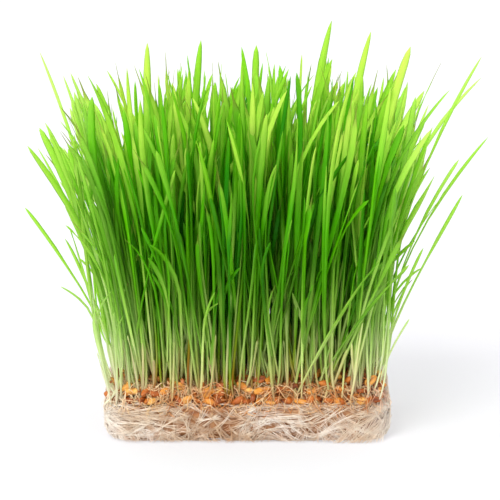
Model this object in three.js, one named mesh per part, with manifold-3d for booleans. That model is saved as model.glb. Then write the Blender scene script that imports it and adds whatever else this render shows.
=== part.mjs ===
// A block of wheatgrass, lifted out of the tray that it grew in. All sizes are in millimetres.
//
// The roots have felted into a slab with the tray's shape, which stands on its flat underside. On it lies
// a bed of swollen grains that their finer roots hold together, and the shoots stand on the grains. The bed
// pulls apart in clumps, so it is modelled as rows of tufts: a tuft is one clump of grains with its own
// shoots. Plants along the ends and the front lean out on their own, some grains lie loose along the front,
// and a thin root felt stands up at each end, where the roots climbed the tray's walls.
// +X is to the right, +Y to the back, +Z up. The origin is the middle of the slab's underside.
import * as THREE from "three";
import { mergeVertices } from "three/addons/utils/BufferGeometryUtils.js";
import Module from "manifold-3d";

const wasm = await Module();
wasm.setup();

// Driving dimensions.
const MAT = { width: 140, depth: 90, height: 18, corner: 14, underEdge: 6, topEdge: 2.4 };
const BED = { inset: 2.2, thickness: 4.2 };
const GRAIN = { length: 6.6, width: 3.7, height: 3.4 };
const TUFT = { columns: 7, rows: ["front", "mid_front", "mid_back", "back"] };
const PER_TUFT = { grains: 3, shootsAcross: 3, shootsDeep: 3, margin: 2 };
const GRAIN_RIM = { end: 8.6, front: 8.2, back: 6 }; // how far inside the bed's edge the tufts' grains lie
const SHOOT = { shortest: 122, longest: 166, stemRadius: 0.75, width: 2.3, keel: 0.75 };
const STEPS = { shoot: 3, tall: 5, stray: 8 }; // straight stretches along a shoot
const SPLAY = {
  left: 31, // how far the tips of shoots at the rim stand outside their roots
  right: 23,
  frontBack: 22,
  even: 6, // how much more of it grows evenly from the middle to the ends
  rimPower: 2.4, // how much the rest keeps to the rim
  loose: 8, // how far a tip strays from there
  bend: 0.16, // the share of it that a shoot has at its bend
  shorter: 0.1, // how much shorter the shoots are at the rim
};
const FELT = { thickness: 1.2, height: 10.2, reach: 50, middle: -5 };
const LOOSE_GRAINS = { count: 8, from: -49, to: 58 };
const GAP = 0.3; // between neighbours that touch in the real thing

const COLOURS = { roots: 0xe2cdb2, grain: 0xc9702a, leaf: 0x5fae1e, felt: 0xefe6d8 };
const ROUGHNESS = { roots: 0.9, grain: 0.45, leaf: 0.5 };

const bedBottom = MAT.height + GAP;
const bedTop = bedBottom + BED.thickness;
const rootLevel = bedBottom + 1.2; // where a tuft's shoot starts, inside the bed
const strayLevel = bedTop + GAP + GRAIN.height / 2; // the middle of a stray plant's grain, on the bed
const bedHalf = { x: MAT.width / 2 - BED.inset, y: MAT.depth / 2 - BED.inset };
const cell = { x: (bedHalf.x * 2) / TUFT.columns, y: (bedHalf.y * 2) / TUFT.rows.length };

// Plants at the bed's two ends that lean out on their own: root, rise and lean of the bend, and tip.
const END_STRAYS = {
  stray_left_low: { root: [-65.4, -9], rise: 27, lean: -2.2, tip: [-111, -11, 112] },
  stray_left_short: { root: [-65.4, -18], rise: 42, lean: -8, tip: [-90, -20, 97] },
  stray_left_outer: { root: [-65.4, 0], rise: 60, lean: -8, tip: [-104, -4, 140] },
  stray_left_middle: { root: [-65.4, 9], rise: 78, lean: -10, tip: [-105, 9, 148] },
  stray_left_high: { root: [-65.4, 17.5], rise: 88, lean: -10, tip: [-105, 20, 186] },
  stray_left_back: { root: [-65, 26], rise: 96, lean: -8, tip: [-96, 34, 173] },
  stray_right_foot: { root: [65, -34.5], rise: 12, lean: 0.6, tip: [79, -37, 60] },
  stray_right_short: { root: [65.4, -26], rise: 38, lean: 6, tip: [86, -30, 94] },
  stray_right_low: { root: [65.4, -17], rise: 24, lean: 2, tip: [106, -20, 119] },
  stray_right_middle: { root: [65.4, -8], rise: 58, lean: 6, tip: [105, -8, 135] },
  stray_right_outer: { root: [65.4, 1], rise: 66, lean: 8, tip: [121, 0, 146] },
  stray_right_back: { root: [65.4, 10], rise: 80, lean: 7, tip: [93, 13, 128] },
  stray_right_high: { root: [65.4, 18.5], rise: 86, lean: 10, tip: [119, 20, 184] },
  stray_right_arched: { root: [65, 27], rise: 112, lean: 9, tip: [120, 33, 172] },
};

// Plants along the bed's front that lean across their neighbours.
const FRONT_STRAYS = {
  stray_front_crossing: { root: [-57, -40.2], rise: 42, lean: 2, tip: [-34, -57, 136] },
  stray_front_left: { root: [-40, -40.2], rise: 60, lean: -2, tip: [-58, -50, 139] },
  stray_front_middle: { root: [-19, -40.2], rise: 80, lean: -1, tip: [-22, -51, 149] },
  stray_front_right: { root: [6, -40.2], rise: 66, lean: 1, tip: [17, -53, 154] },
  stray_front_wide: { root: [31, -40.2], rise: 58, lean: 1, tip: [46, -54, 158] },
};

// Shoots of the tufts that stand out above the crowd, described as the strays are.
const TALL_SHOOTS = [
  { root: [25, 6], rise: 130, lean: 3, tip: [42, 6, 203] },
  { root: [43, 9], rise: 138, lean: 4, tip: [63, 9, 198] },
  { root: [57, -9], rise: 136, lean: 7, tip: [79, -9, 191] },
  { root: [-26, -4], rise: 128, lean: -1, tip: [-24, -4, 194] },
  { root: [-46, -9], rise: 98, lean: -2, tip: [-51, -10, 193] },
  { root: [2, 12], rise: 120, lean: 3, tip: [1, 12, 191] },
];

// Mulberry32: the same numbers on every run.
function seededRandom(seed) {
  let state = seed;
  return () => {
    state = (state + 0x6d2b79f5) | 0;
    let t = Math.imul(state ^ (state >>> 15), 1 | state);
    t = (t + Math.imul(t ^ (t >>> 7), 61 | t)) ^ t;
    return ((t ^ (t >>> 14)) >>> 0) / 4294967296;
  };
}

const random = seededRandom(20417);
const between = (low, high) => low + (high - low) * random();
const { clamp, lerp, smoothstep } = THREE.MathUtils;

// three.js geometry in and out of manifold-3d.
function solidOf(geometry) {
  const bare = geometry.clone();
  bare.deleteAttribute("normal");
  bare.deleteAttribute("uv");
  const merged = mergeVertices(bare, 1e-4);
  const vertProperties = merged.attributes.position.array;
  const triVerts = new Uint32Array(merged.index.array);
  return new wasm.Manifold(new wasm.Mesh({ numProp: 3, vertProperties, triVerts }));
}

function geometryOf(solid) {
  const mesh = solid.getMesh();
  const corners = new Float32Array(mesh.numVert * 3);
  for (let i = 0; i < mesh.numVert; i += 1) {
    corners.set(mesh.vertProperties.subarray(i * mesh.numProp, i * mesh.numProp + 3), i * 3);
  }
  const geometry = new THREE.BufferGeometry();
  geometry.setAttribute("position", new THREE.BufferAttribute(corners, 3));
  geometry.setIndex(new THREE.BufferAttribute(mesh.triVerts, 1));
  geometry.computeVertexNormals();
  return geometry;
}

const joined = (solids) => solids.reduce((whole, solid) => whole.add(solid));

function part(name, solid, color, roughness) {
  const material = new THREE.MeshStandardMaterial({ color, roughness, metalness: 0 });
  const mesh = new THREE.Mesh(geometryOf(solid), material);
  mesh.name = name;
  return mesh;
}

function boxSolid(low, high) {
  const size = new THREE.Vector3().subVectors(high, low);
  const geometry = new THREE.BoxGeometry(size.x, size.y, size.z);
  geometry.translate(...low.clone().add(high).multiplyScalar(0.5).toArray());
  return solidOf(geometry);
}

// A rectangle with round corners, about the origin.
function roundedRectangle(halfX, halfY, radius) {
  const shape = new THREE.Shape();
  shape.absarc(halfX - radius, halfY - radius, radius, 0, Math.PI / 2);
  shape.absarc(radius - halfX, halfY - radius, radius, Math.PI / 2, Math.PI);
  shape.absarc(radius - halfX, radius - halfY, radius, Math.PI, Math.PI * 1.5);
  shape.absarc(halfX - radius, radius - halfY, radius, Math.PI * 1.5, Math.PI * 2);
  return shape;
}

// The root slab: an extrusion with rounded edges, whose upper edge is then given a tighter rounding.
function rootMat() {
  const edge = MAT.underEdge;
  const wallTop = MAT.height - MAT.topEdge;
  const outline = roundedRectangle(MAT.width / 2 - edge, MAT.depth / 2 - edge, MAT.corner - edge);
  const rounding = { curveSegments: 3, bevelThickness: edge, bevelSize: edge, bevelSegments: 3 };
  const geometry = new THREE.ExtrudeGeometry(outline, { depth: wallTop - edge, ...rounding });
  geometry.translate(0, 0, edge);
  const place = geometry.attributes.position;
  const tighter = MAT.topEdge / edge;
  for (let i = 0; i < place.count; i += 1) {
    const above = place.getZ(i) - wallTop;
    if (above < 1e-4) continue;
    const point = new THREE.Vector2(place.getX(i), place.getY(i));
    const centreX = Math.sign(point.x) * (MAT.width / 2 - MAT.corner);
    const centreY = Math.sign(point.y) * (MAT.depth / 2 - MAT.corner);
    const cornerCentre = new THREE.Vector2(centreX, centreY);
    point.sub(cornerCentre);
    point.setLength(MAT.corner - (MAT.corner - point.length()) * tighter).add(cornerCentre);
    place.setXYZ(i, point.x, point.y, wallTop + above * tighter);
  }
  return solidOf(geometry);
}

// The bed's whole outline, from which each tuft takes its own cell.
function bedSolid() {
  const outline = roundedRectangle(bedHalf.x, bedHalf.y, MAT.corner - BED.inset);
  const plain = { depth: BED.thickness, curveSegments: 2, bevelEnabled: false };
  const geometry = new THREE.ExtrudeGeometry(outline, plain);
  geometry.translate(0, 0, bedBottom);
  return solidOf(geometry);
}

// The thin root felt that climbed an end wall of the tray.
function wallFelt(side) {
  const x = side * (MAT.width / 2 - GAP - FELT.thickness / 2);
  const middle = new THREE.Vector3(x, FELT.middle, bedBottom + FELT.height / 2);
  const half = new THREE.Vector3(FELT.thickness, FELT.reach, FELT.height).multiplyScalar(0.5);
  return boxSolid(middle.clone().sub(half), middle.clone().add(half));
}

// One swollen grain: an ellipsoid, tipped and turned about Z. spare makes the hollow that it lies in.
function grainSolid(seat, turn, tip = 0, spare = 0) {
  const geometry = new THREE.SphereGeometry(1, 6, 3);
  geometry.rotateZ(Math.PI / 2);
  geometry.scale(GRAIN.length / 2 + spare, GRAIN.width / 2 + spare, GRAIN.height / 2 + spare);
  geometry.rotateY(tip);
  geometry.rotateZ(turn);
  geometry.translate(...seat.toArray());
  return solidOf(geometry);
}

// A shoot's line leaves its grain nearly upright and bends towards its tip.
function shootLine(root, rise, leanX, leanY, tip) {
  const bend = new THREE.Vector3(root.x + leanX, root.y + leanY, root.z + rise);
  return new THREE.QuadraticBezierCurve3(root, bend, tip);
}

function describedLine({ root, rise, lean, tip }, level) {
  return shootLine(new THREE.Vector3(root[0], root[1], level), rise, lean, 0, new THREE.Vector3(...tip));
}

// Half the width at a share t of the length: a thin stem, then the full leaf, and a taper to the point.
function halfWidth(t, width) {
  const leaf = lerp(SHOOT.stemRadius, width / 2, smoothstep(t, 0.12, 0.5));
  return leaf * lerp(1, 0.4, smoothstep(t, 0.7, 1));
}

// A shoot: a three-sided cone bent along its line. One side is the leaf's face and the ridge is its keel.
function shootSolid(line, width, facing, steps) {
  const geometry = new THREE.ConeGeometry(1, 1, 3, steps);
  const place = geometry.attributes.position;
  for (let i = 0; i < place.count; i += 1) {
    const t = clamp(place.getY(i) + 0.5, 0, 1);
    const radius = Math.hypot(place.getX(i), place.getZ(i));
    const across = radius < 1e-6 ? 0 : place.getX(i) / radius;
    const out = radius < 1e-6 ? 0 : place.getZ(i) / radius;
    const along = line.getTangent(t);
    const side = new THREE.Vector3(Math.cos(facing), Math.sin(facing), 0);
    side.addScaledVector(along, -side.dot(along)).normalize();
    const face = new THREE.Vector3().crossVectors(side, along);
    const deep = lerp(SHOOT.stemRadius, SHOOT.keel, smoothstep(t, 0.1, 0.5));
    const point = line.getPoint(t);
    point.addScaledVector(side, across * halfWidth(t, width)).addScaledVector(face, out * deep);
    place.setXYZ(i, point.x, point.y, point.z);
  }
  return solidOf(geometry);
}

// What already stands in the bed: lines, each with the room that another shoot's line leaves round it.
const taken = [];
const ROOM = { shoot: SHOOT.width + GAP, grain: GRAIN.width / 2 + SHOOT.stemRadius + GAP };

// The shortest distance between the straight stretches from a to b and from c to d.
function distanceBetween(a, b, c, d) {
  const u = new THREE.Vector3().subVectors(b, a);
  const v = new THREE.Vector3().subVectors(d, c);
  const w = new THREE.Vector3().subVectors(a, c);
  const slant = u.dot(v);
  const apart = u.lengthSq() * v.lengthSq() - slant * slant;
  const first = apart < 1e-9 ? 0 : clamp((slant * v.dot(w) - v.lengthSq() * u.dot(w)) / apart, 0, 1);
  const second = clamp((slant * first + v.dot(w)) / v.lengthSq(), 0, 1);
  const nearest = clamp((slant * second - u.dot(w)) / u.lengthSq(), 0, 1);
  return u.multiplyScalar(nearest).add(a).distanceTo(v.multiplyScalar(second).add(c));
}

function isClear(line, steps) {
  const own = line.getPoints(steps);
  const clears = ({ points, room }) =>
    own.every((end, i) =>
      points.every((other, k) => !i || !k || distanceBetween(own[i - 1], end, points[k - 1], other) > room),
    );
  return taken.every(clears);
}

// Grains that lie apart from the bed: the hollows that the bed leaves for them.
const hollows = [];

function separateGrain(seat, turn) {
  const half = new THREE.Vector3(Math.cos(turn), Math.sin(turn), 0).multiplyScalar(GRAIN.length / 2 - 1);
  taken.push({ points: [seat.clone().sub(half), seat.clone().add(half)], room: ROOM.grain });
  hollows.push(grainSolid(seat, turn, 0, GAP * 1.5));
  return grainSolid(seat, turn);
}

// A stray plant: its grain lies on the bed's rim, along the edge, and its shoot leans out from it.
function strayPart(name, stray, edgeTurn) {
  const seat = new THREE.Vector3(stray.root[0], stray.root[1], strayLevel);
  const turn = edgeTurn + between(-0.3, 0.3);
  const line = describedLine(stray, strayLevel);
  const shoot = shootSolid(line, SHOOT.width * 1.1, turn + between(-0.6, 0.6), STEPS.stray);
  return part(name, separateGrain(seat, turn).add(shoot), COLOURS.leaf, ROUGHNESS.leaf);
}

// Loose grains along the front of the slab's top, lying every way.
function looseGrainPart(index) {
  const spread = (index + between(-0.15, 0.15)) / (LOOSE_GRAINS.count - 1);
  const x = lerp(LOOSE_GRAINS.from, LOOSE_GRAINS.to, spread);
  const seat = new THREE.Vector3(x, between(0.6, 1.5) - bedHalf.y, bedBottom + GRAIN.height / 2);
  const grain = separateGrain(seat, between(-0.7, 1));
  return part(`loose_grain_${index + 1}`, grain, COLOURS.grain, ROUGHNESS.grain);
}

// Where a shoot's tip lies for its root: the crowd pushes the shoots outwards, most at the rim.
function tipFor(root, length) {
  const shareX = root.x / bedHalf.x;
  const shareY = root.y / bedHalf.y;
  const crowding = (share) => Math.sign(share) * Math.abs(share) ** SPLAY.rimPower;
  const loose = () => between(-SPLAY.loose, SPLAY.loose);
  const awayX = (shareX < 0 ? SPLAY.left : SPLAY.right) * crowding(shareX) + SPLAY.even * shareX + loose();
  const awayY = SPLAY.frontBack * crowding(shareY) + loose();
  const reach = length * (1 - SPLAY.shorter * Math.max(Math.abs(shareX), Math.abs(shareY)) ** 3);
  const rise = Math.sqrt(reach ** 2 - awayX ** 2 - awayY ** 2);
  return root.clone().add(new THREE.Vector3(awayX, awayY, rise));
}

// Whether a point lies inside the bed's outline, with its round corners, by at least the margin.
function isOnBed(x, y, margin) {
  const overX = Math.max(0, Math.abs(x) - (bedHalf.x - MAT.corner));
  const overY = Math.max(0, Math.abs(y) - (bedHalf.y - MAT.corner));
  return Math.hypot(overX, overY) < MAT.corner - margin;
}

// How often a place is tried again when its shoot would touch another.
const TRIES = 60;

// The shoots of one tuft: the tall ones rooted in its cell, and one more in each place of a loose grid.
function tuftShoots(low, tall) {
  const shoots = tall.map((shoot) =>
    shootSolid(describedLine(shoot, rootLevel), SHOOT.width * 1.1, between(-0.6, 0.6), STEPS.tall),
  );
  const { shootsAcross, shootsDeep, margin } = PER_TUFT;
  const place = { x: (cell.x - margin * 2) / shootsAcross, y: (cell.y - margin * 2) / shootsDeep };
  for (let i = 0; i < shootsAcross * shootsDeep; i += 1) {
    for (let attempt = 0; attempt < TRIES; attempt += 1) {
      const x = low.x + margin + place.x * ((i % shootsAcross) + between(0.05, 0.95));
      const y = low.y + margin + place.y * (Math.floor(i / shootsAcross) + between(0.05, 0.95));
      if (!isOnBed(x, y, margin)) continue;
      const root = new THREE.Vector3(x, y, rootLevel);
      const length = between(SHOOT.shortest, SHOOT.longest);
      const tip = tipFor(root, length);
      const lean = tip.clone().sub(root).multiplyScalar(SPLAY.bend);
      const line = shootLine(root, length * between(0.42, 0.6), lean.x, lean.y, tip);
      if (!isClear(line, STEPS.shoot)) continue;
      taken.push({ points: line.getPoints(STEPS.shoot), room: ROOM.shoot });
      shoots.push(shootSolid(line, SHOOT.width * between(0.85, 1), between(-1.1, 1.1), STEPS.shoot));
      break;
    }
  }
  return shoots;
}

// The grains that show on top of one tuft's clump.
function tuftGrains(low) {
  const grains = [];
  for (let i = 0; i < PER_TUFT.grains; i += 1) {
    const share = (i + between(0.35, 0.65)) / PER_TUFT.grains;
    const x = clamp(low.x + cell.x * share, GRAIN_RIM.end - bedHalf.x, bedHalf.x - GRAIN_RIM.end);
    const deep = low.y + cell.y * between(0.25, 0.75);
    const y = clamp(deep, GRAIN_RIM.front - bedHalf.y, bedHalf.y - GRAIN_RIM.back);
    const seat = new THREE.Vector3(x, y, bedTop + between(0.4, 1));
    grains.push(grainSolid(seat, between(0, Math.PI), between(-0.4, 0.4)));
  }
  return grains;
}

function tuftPart(name, column, row, bed) {
  const low = new THREE.Vector3(cell.x * column - bedHalf.x, cell.y * row - bedHalf.y, bedBottom - 1);
  const high = new THREE.Vector3(low.x + cell.x, low.y + cell.y, bedTop + GRAIN.length);
  const inside = new THREE.Vector3(GAP / 2, GAP / 2, 0);
  const own = boxSolid(low.clone().add(inside), high.clone().sub(inside));
  const whole = joined([bed, ...tuftGrains(low)]).intersect(own);
  const clump = hollows.reduce((left, hollow) => left.subtract(hollow), whole);
  const isHere = ({ root: [x, y] }) => x >= low.x && x < high.x && y >= low.y && y < high.y;
  const shoots = tuftShoots(low, TALL_SHOOTS.filter(isHere));
  return part(name, joined([clump, ...shoots]), COLOURS.leaf, ROUGHNESS.leaf);
}

const group = new THREE.Group();
group.add(part("root_mat", rootMat(), COLOURS.roots, ROUGHNESS.roots));
group.add(part("wall_felt_left", wallFelt(-1), COLOURS.felt, ROUGHNESS.roots));
group.add(part("wall_felt_right", wallFelt(1), COLOURS.felt, ROUGHNESS.roots));

function takeLines(shoots, level, steps) {
  const linePoints = (shoot) => describedLine(shoot, level).getPoints(steps);
  shoots.forEach((shoot) => taken.push({ points: linePoints(shoot), room: ROOM.shoot }));
}
takeLines([...Object.values(END_STRAYS), ...Object.values(FRONT_STRAYS)], strayLevel, STEPS.stray);
takeLines(TALL_SHOOTS, rootLevel, STEPS.tall);
Object.entries(END_STRAYS).forEach(([name, stray]) => group.add(strayPart(name, stray, Math.PI / 2)));
Object.entries(FRONT_STRAYS).forEach(([name, stray]) => group.add(strayPart(name, stray, 0)));
for (let i = 0; i < LOOSE_GRAINS.count; i += 1) group.add(looseGrainPart(i));

const bed = bedSolid();
TUFT.rows.forEach((rowName, row) => {
  for (let column = 0; column < TUFT.columns; column += 1) {
    group.add(tuftPart(`tuft_${rowName}_${column + 1}`, column, row, bed));
  }
});

export default group;
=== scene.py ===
import math

import bpy
import numpy as np
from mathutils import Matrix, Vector, noise


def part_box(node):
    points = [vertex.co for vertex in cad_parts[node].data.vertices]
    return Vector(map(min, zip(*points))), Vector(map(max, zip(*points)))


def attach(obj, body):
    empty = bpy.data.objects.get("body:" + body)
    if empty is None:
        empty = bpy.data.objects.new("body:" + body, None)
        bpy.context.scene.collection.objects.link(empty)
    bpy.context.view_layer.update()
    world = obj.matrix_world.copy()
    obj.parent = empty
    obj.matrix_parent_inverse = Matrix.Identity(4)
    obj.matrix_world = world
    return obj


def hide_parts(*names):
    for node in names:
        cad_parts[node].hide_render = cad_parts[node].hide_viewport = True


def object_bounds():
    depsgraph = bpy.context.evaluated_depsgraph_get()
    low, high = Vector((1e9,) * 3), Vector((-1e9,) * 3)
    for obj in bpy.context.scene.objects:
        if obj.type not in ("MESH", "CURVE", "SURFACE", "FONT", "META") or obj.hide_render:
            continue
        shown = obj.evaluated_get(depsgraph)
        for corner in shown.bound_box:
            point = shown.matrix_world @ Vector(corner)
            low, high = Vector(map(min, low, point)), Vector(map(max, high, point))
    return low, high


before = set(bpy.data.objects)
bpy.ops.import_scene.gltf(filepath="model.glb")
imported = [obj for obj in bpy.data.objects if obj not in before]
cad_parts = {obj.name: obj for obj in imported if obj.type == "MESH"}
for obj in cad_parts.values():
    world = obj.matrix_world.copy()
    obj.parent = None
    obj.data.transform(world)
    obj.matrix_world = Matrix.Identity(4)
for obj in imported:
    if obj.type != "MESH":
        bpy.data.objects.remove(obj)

cad_box = [list(corner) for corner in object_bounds()]

# ---- The imported roots --------------------------------------------------------------------------
# The wheat's roots filled the floor of the tray and felted into a slab with its shape. Inside they
# are packed into one dense, brownish cake, which shows wherever the bundles of its skin part; its dark
# colour is also painted shade in those gaps.

MM = 0.001


def shade(red, green, blue):
    """A colour as it looks on a screen, from 0 to 255, as the linear colour that a shader takes."""
    srgb = np.array([red, green, blue]) / 255
    linear = np.where(srgb < 0.04045, srgb / 12.92, ((srgb + 0.055) / 1.055) ** 2.4)
    return (*linear.tolist(), 1.0)


def add_node(tree, kind, inputs=None, **settings):
    """One shader node. inputs gives its sockets, by name or number, a value or another socket."""
    made = tree.nodes.new(kind)
    for name, value in settings.items():
        setattr(made, name, value)
    for name, value in (inputs or {}).items():
        if isinstance(value, bpy.types.NodeSocket):
            tree.links.new(value, made.inputs[name])
        else:
            made.inputs[name].default_value = value
    return made


def calculate(tree, operation, first, second=0.0, third=0.0):
    """The result of one Math node."""
    values = {0: first, 1: second, 2: third}
    return add_node(tree, "ShaderNodeMath", values, operation=operation).outputs["Value"]


def ramp(tree, factor, *stops):
    """A colour ramp with (place, red, green, blue) stops."""
    made = add_node(tree, "ShaderNodeValToRGB", {"Fac": factor})
    bar = made.color_ramp.elements
    while len(bar) < len(stops):
        bar.new(1.0)
    for element, (place, *colour) in zip(bar, stops):
        element.position = place
        element.color = shade(*colour)
    return made.outputs["Color"]


def mixed(tree, share, first, second, blend="MIX"):
    """The first colour with this share of the second over it; a Mix node's colours go by number."""
    inputs = {0: share, 6: first, 7: second}
    return add_node(tree, "ShaderNodeMix", inputs, data_type="RGBA", blend_type=blend).outputs[2]


def own_value(tree, name):
    """A value that each point of a piece carries under this name."""
    return add_node(tree, "ShaderNodeAttribute", attribute_name=name).outputs["Fac"]


def effect_group(name, inputs, outputs):
    """A shader node group with named float inputs and outputs, and its two end nodes."""
    group = bpy.data.node_groups.new(name, "ShaderNodeTree")
    for socket, value in inputs.items():
        made = group.interface.new_socket(socket, in_out="INPUT", socket_type="NodeSocketFloat")
        made.default_value = value
    for socket in outputs:
        group.interface.new_socket(socket, in_out="OUTPUT", socket_type="NodeSocketFloat")
    return group, group.nodes.new("NodeGroupInput").outputs, group.nodes.new("NodeGroupOutput").inputs


def clamp_into(group, value, socket):
    """Leads a value, held between 0 and 1, to one of a group's outputs."""
    group.links.new(add_node(group, "ShaderNodeClamp", {"Value": value}).outputs[0], socket)


def mottling_group():
    """Soft blotches through the whole piece, from 0 to 1, such as plant tissue has."""
    group, given, made = effect_group(
        "mottling", {"Blotches Per Metre": 200.0, "Roughness": 0.6, "Contrast": 1.0}, ["Tone"]
    )
    place = add_node(group, "ShaderNodeTexCoord").outputs["Object"]
    inputs = {"Vector": place, "Scale": given["Blotches Per Metre"], "Detail": 5.0}
    blotches = add_node(group, "ShaderNodeTexNoise", {**inputs, "Roughness": given["Roughness"]})
    centred = calculate(group, "SUBTRACT", blotches.outputs["Fac"], 0.5)
    clamp_into(group, calculate(group, "MULTIPLY_ADD", centred, given["Contrast"], 0.5), made["Tone"])
    return group


def lengthwise_lines_group():
    """Fine lines that run lengthwise, from the pieces' own across and along values: veins and fibres."""
    group, given, made = effect_group(
        "lengthwise_lines", {"Lines Across": 6.0, "Stretch": 60.0, "Contrast": 2.0}, ["Height"]
    )
    across = calculate(group, "MULTIPLY", own_value(group, "across"), given["Lines Across"])
    along = calculate(group, "MULTIPLY", own_value(group, "along"), given["Stretch"])
    place = add_node(group, "ShaderNodeCombineXYZ", {"X": across, "Y": along}).outputs[0]
    lines = add_node(group, "ShaderNodeTexNoise", {"Vector": place, "Scale": 1.0, "Detail": 2.0})
    centred = calculate(group, "SUBTRACT", lines.outputs["Fac"], 0.5)
    clamp_into(group, calculate(group, "MULTIPLY_ADD", centred, given["Contrast"], 0.5), made["Height"])
    return group


def open_ends_group():
    """From 0 in the middle to 1 at the block's two ends, where nothing stands in the way of the light.
    Begins is a distance from the middle, which grows by Spread for every metre of height."""
    group, given, made = effect_group(
        "open_ends", {"Begins": 0.056, "Width": 0.015, "Spread": 0.0}, ["Share"]
    )
    place = add_node(group, "ShaderNodeTexCoord").outputs["Object"]
    parts = add_node(group, "ShaderNodeSeparateXYZ", {"Vector": place}).outputs
    begins = calculate(group, "MULTIPLY_ADD", parts["Z"], given["Spread"], given["Begins"])
    beyond = calculate(group, "SUBTRACT", calculate(group, "ABSOLUTE", parts["X"]), begins)
    clamp_into(group, calculate(group, "DIVIDE", beyond, given["Width"]), made["Share"])
    return group


effects = {"mottling": mottling_group(), "lines": lengthwise_lines_group(), "ends": open_ends_group()}


def use_effect(tree, effect, inputs):
    """Places one of the effect groups in a material and gives its one output."""
    return add_node(tree, "ShaderNodeGroup", inputs, node_tree=effects[effect]).outputs[0]


def blotched_tone(tree, blotch, from_blotch, from_own):
    """The tone that each strand, grain or flake has of its own, varied by blotches over its skin."""
    own = calculate(tree, "MULTIPLY", own_value(tree, "tone"), from_own)
    return calculate(tree, "MULTIPLY_ADD", blotch, from_blotch, own)


def new_material(name):
    """A node material with nothing in it but its main shader, and that shader's tree."""
    material = bpy.data.materials.new(name)
    material.use_nodes = True
    tree = material.node_tree
    tree.nodes.clear()
    output = tree.nodes.new("ShaderNodeOutputMaterial")
    skin = tree.nodes.new("ShaderNodeBsdfPrincipled")
    tree.links.new(skin.outputs["BSDF"], output.inputs["Surface"])
    return material, tree, skin


def roughen(tree, skin, height, strength, depth):
    """Raises a material's skin by this height where it is 1, and gives the raised skin's directions."""
    inputs = {"Height": height, "Strength": strength, "Distance": depth}
    raised = add_node(tree, "ShaderNodeBump", inputs).outputs["Normal"]
    tree.links.new(raised, skin.inputs["Normal"])
    return raised


def let_light_through(tree, skin, colour, raised, share):
    """Lets a share of the light that falls on one side of a thin piece out on the other, coloured."""
    through = add_node(tree, "ShaderNodeBsdfTranslucent", {"Color": colour, "Normal": raised})
    both = add_node(tree, "ShaderNodeMixShader", {0: share, 1: skin.outputs[0], 2: through.outputs[0]})
    tree.links.new(both.outputs[0], tree.nodes["Material Output"].inputs["Surface"])


def root_material(name, dark, middle, light, see_through, painted_end_light=0.8):
    """Root skin: each strand has a tone of its own, is blotched, and lets some light through. At the
    block's ends it is painted paler, for the light that falls there."""
    material, tree, skin = new_material(name)
    blotch = use_effect(tree, "mottling", {"Blotches Per Metre": 260.0, "Contrast": 1.7})
    tone = blotched_tone(tree, blotch, 0.45, 0.6)
    colour = ramp(tree, tone, (0.1, *dark), (0.42, *middle), (0.8, *light))
    patches = use_effect(tree, "mottling", {"Blotches Per Metre": 55.0, "Contrast": 2.4})
    stain = ramp(tree, patches, (0.1, 232, 210, 180), (0.5, 251, 245, 234), (0.85, 255, 255, 255))
    colour = mixed(tree, 1.0, colour, stain, "MULTIPLY")
    # Painted light: towards the block's ends the colour is mixed towards a pale cream, for the light that
    # falls there.
    at_ends = use_effect(tree, "ends", {"Begins": 0.056, "Width": 0.015})
    paler = calculate(tree, "MULTIPLY", at_ends, painted_end_light)
    colour = mixed(tree, paler, colour, shade(255, 250, 241))
    tree.links.new(colour, skin.inputs["Base Color"])
    skin.inputs["Roughness"].default_value = 0.62
    skin.inputs["Specular IOR Level"].default_value = 0.35
    lines = use_effect(tree, "lines", {"Lines Across": 2.0, "Stretch": 900.0})
    raised = roughen(tree, skin, calculate(tree, "MULTIPLY_ADD", lines, 0.5, blotch), 0.5, 0.4 * MM)
    let_light_through(tree, skin, colour, raised, see_through)
    return material


def make_piece(name, points, faces, material, slot, replaces=(), smooth=True, **values):
    """One visible piece that rides on the block. faces holds arrays of corner numbers, and values
    gives each point one number under each name."""
    mesh = bpy.data.meshes.new(name)
    corners = np.concatenate([group.ravel() for group in faces]).astype(np.int32)
    sizes = np.concatenate([np.full(len(group), group.shape[1]) for group in faces])
    mesh.vertices.add(len(points))
    mesh.vertices.foreach_set("co", np.ascontiguousarray(points, np.float32).ravel())
    mesh.loops.add(len(corners))
    mesh.loops.foreach_set("vertex_index", corners)
    mesh.polygons.add(len(sizes))
    starts = np.concatenate(([0], np.cumsum(sizes)[:-1])).astype(np.int32)
    mesh.polygons.foreach_set("loop_start", starts)
    mesh.polygons.foreach_set("use_smooth", np.full(len(sizes), smooth))
    mesh.update(calc_edges=True)
    for value_name, numbers in values.items():
        attribute = mesh.attributes.new(value_name, "FLOAT", "POINT")
        attribute.data.foreach_set("value", np.ascontiguousarray(numbers, np.float32).ravel())
    mesh.materials.append(material)
    piece = bpy.data.objects.new(name, mesh)
    bpy.context.scene.collection.objects.link(piece)
    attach(piece, "root")
    if replaces:
        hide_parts(*replaces)


def remeshed(node, voxel, scale=1.0, shift=0.0):
    """The points, directions and faces of a CAD node's shape, resized and covered with even, small faces."""
    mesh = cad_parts[node].data.copy()
    co = np.array([v.co for v in mesh.vertices])
    mesh.vertices.foreach_set("co", (co * scale + shift).astype(np.float32).ravel())
    body = bpy.data.objects.new("body", mesh)
    bpy.context.scene.collection.objects.link(body)
    cover = body.modifiers.new("cover", "REMESH")
    cover.mode = "VOXEL"
    cover.voxel_size = voxel
    shape = body.evaluated_get(bpy.context.evaluated_depsgraph_get()).to_mesh()
    points = np.array([v.co for v in shape.vertices])
    normals = np.array([v.normal for v in shape.vertices])
    faces = np.array([f.vertices[:] for f in shape.polygons if len(f.vertices) == 4])
    others = [np.array([f.vertices[:]]) for f in shape.polygons if len(f.vertices) != 4]
    bpy.data.objects.remove(body)
    bpy.data.meshes.remove(mesh)
    return points, normals, [faces, *others]


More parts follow.
